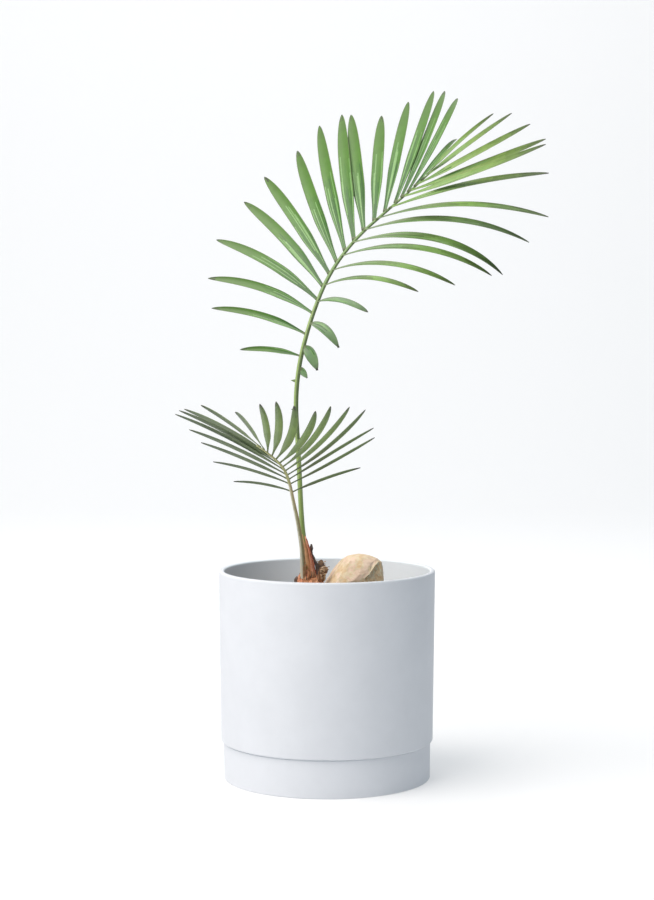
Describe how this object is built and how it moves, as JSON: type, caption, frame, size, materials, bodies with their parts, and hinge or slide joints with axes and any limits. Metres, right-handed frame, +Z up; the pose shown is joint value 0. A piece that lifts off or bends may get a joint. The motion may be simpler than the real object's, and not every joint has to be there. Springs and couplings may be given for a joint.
{
  "type": "potted sago palm",
  "caption": "Young palm-like cycad with one tall arching frond and one short frond, rooted in a plain round ceramic pot that stands in a matching saucer.",
  "frame": {"origin": "centre of the saucer's flat underside, on the pot's axis, at the floor", "axes": "+Z up the pot's axis; -Y is the plant's front, which the short frond leans towards; +X is the side that the tall frond arches to"},
  "size_m": [0.3031, 0.3575, 0.5905],
  "materials": {
    "pot_ceramic": "matte",
    "saucer_ceramic": "matte",
    "soil": "matte",
    "pebble": "matte",
    "caudex": "matte",
    "petiole_tall": "satin",
    "petiole_low": "satin",
    "frond_tall": "satin",
    "frond_low": "satin"
  },
  "bodies": {
    "root": {"pot": "pot_ceramic", "saucer": "saucer_ceramic", "soil": "soil", "stone": "pebble", "caudex": "caudex", "petiole_tall": "petiole_tall", "petiole_low": "petiole_low", "frond_tall_lower": "frond_tall", "frond_tall_upper": "frond_tall", "frond_low": "frond_low"}
  },
  "joints": []
}
